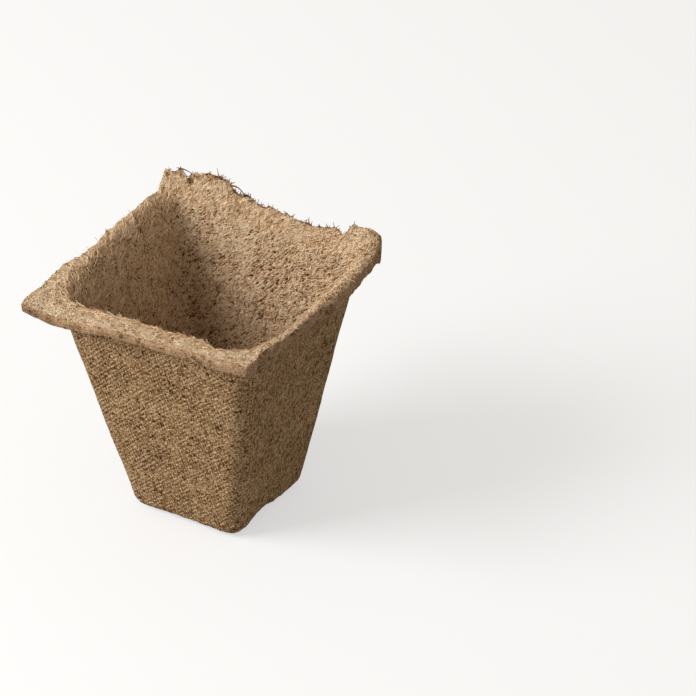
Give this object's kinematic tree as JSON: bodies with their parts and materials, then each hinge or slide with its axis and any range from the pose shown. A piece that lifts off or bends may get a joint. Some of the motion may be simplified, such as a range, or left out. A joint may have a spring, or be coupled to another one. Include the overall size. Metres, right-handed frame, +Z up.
{
  "type": "peat pot",
  "caption": "Square tapered seedling pot moulded from peat and wood fibre, open at the top, with a flat closed floor, soft corners and a ragged turned-out rim with a raised ear at each corner.",
  "frame": {"origin": "centre of the flat underside that the pot stands on", "axes": "+Z up, out of the mouth; the front wall faces -Y and the right wall faces +X"},
  "size_m": [0.0848, 0.0829, 0.0915],
  "materials": {
    "moulded_fibre": "matte",
    "rim_felt": "matte",
    "loose_fibre": "matte"
  },
  "bodies": {
    "root": {"base": "moulded_fibre", "wall_front": "moulded_fibre", "wall_right": "moulded_fibre", "wall_back": "moulded_fibre", "wall_left": "moulded_fibre", "rim_front": "rim_felt", "rim_right": "rim_felt", "rim_back": "rim_felt", "rim_left": "rim_felt", "rim_fibres_front": "loose_fibre", "rim_fibres_right": "loose_fibre", "rim_fibres_back": "loose_fibre", "rim_fibres_left": "loose_fibre"}
  },
  "joints": []
}
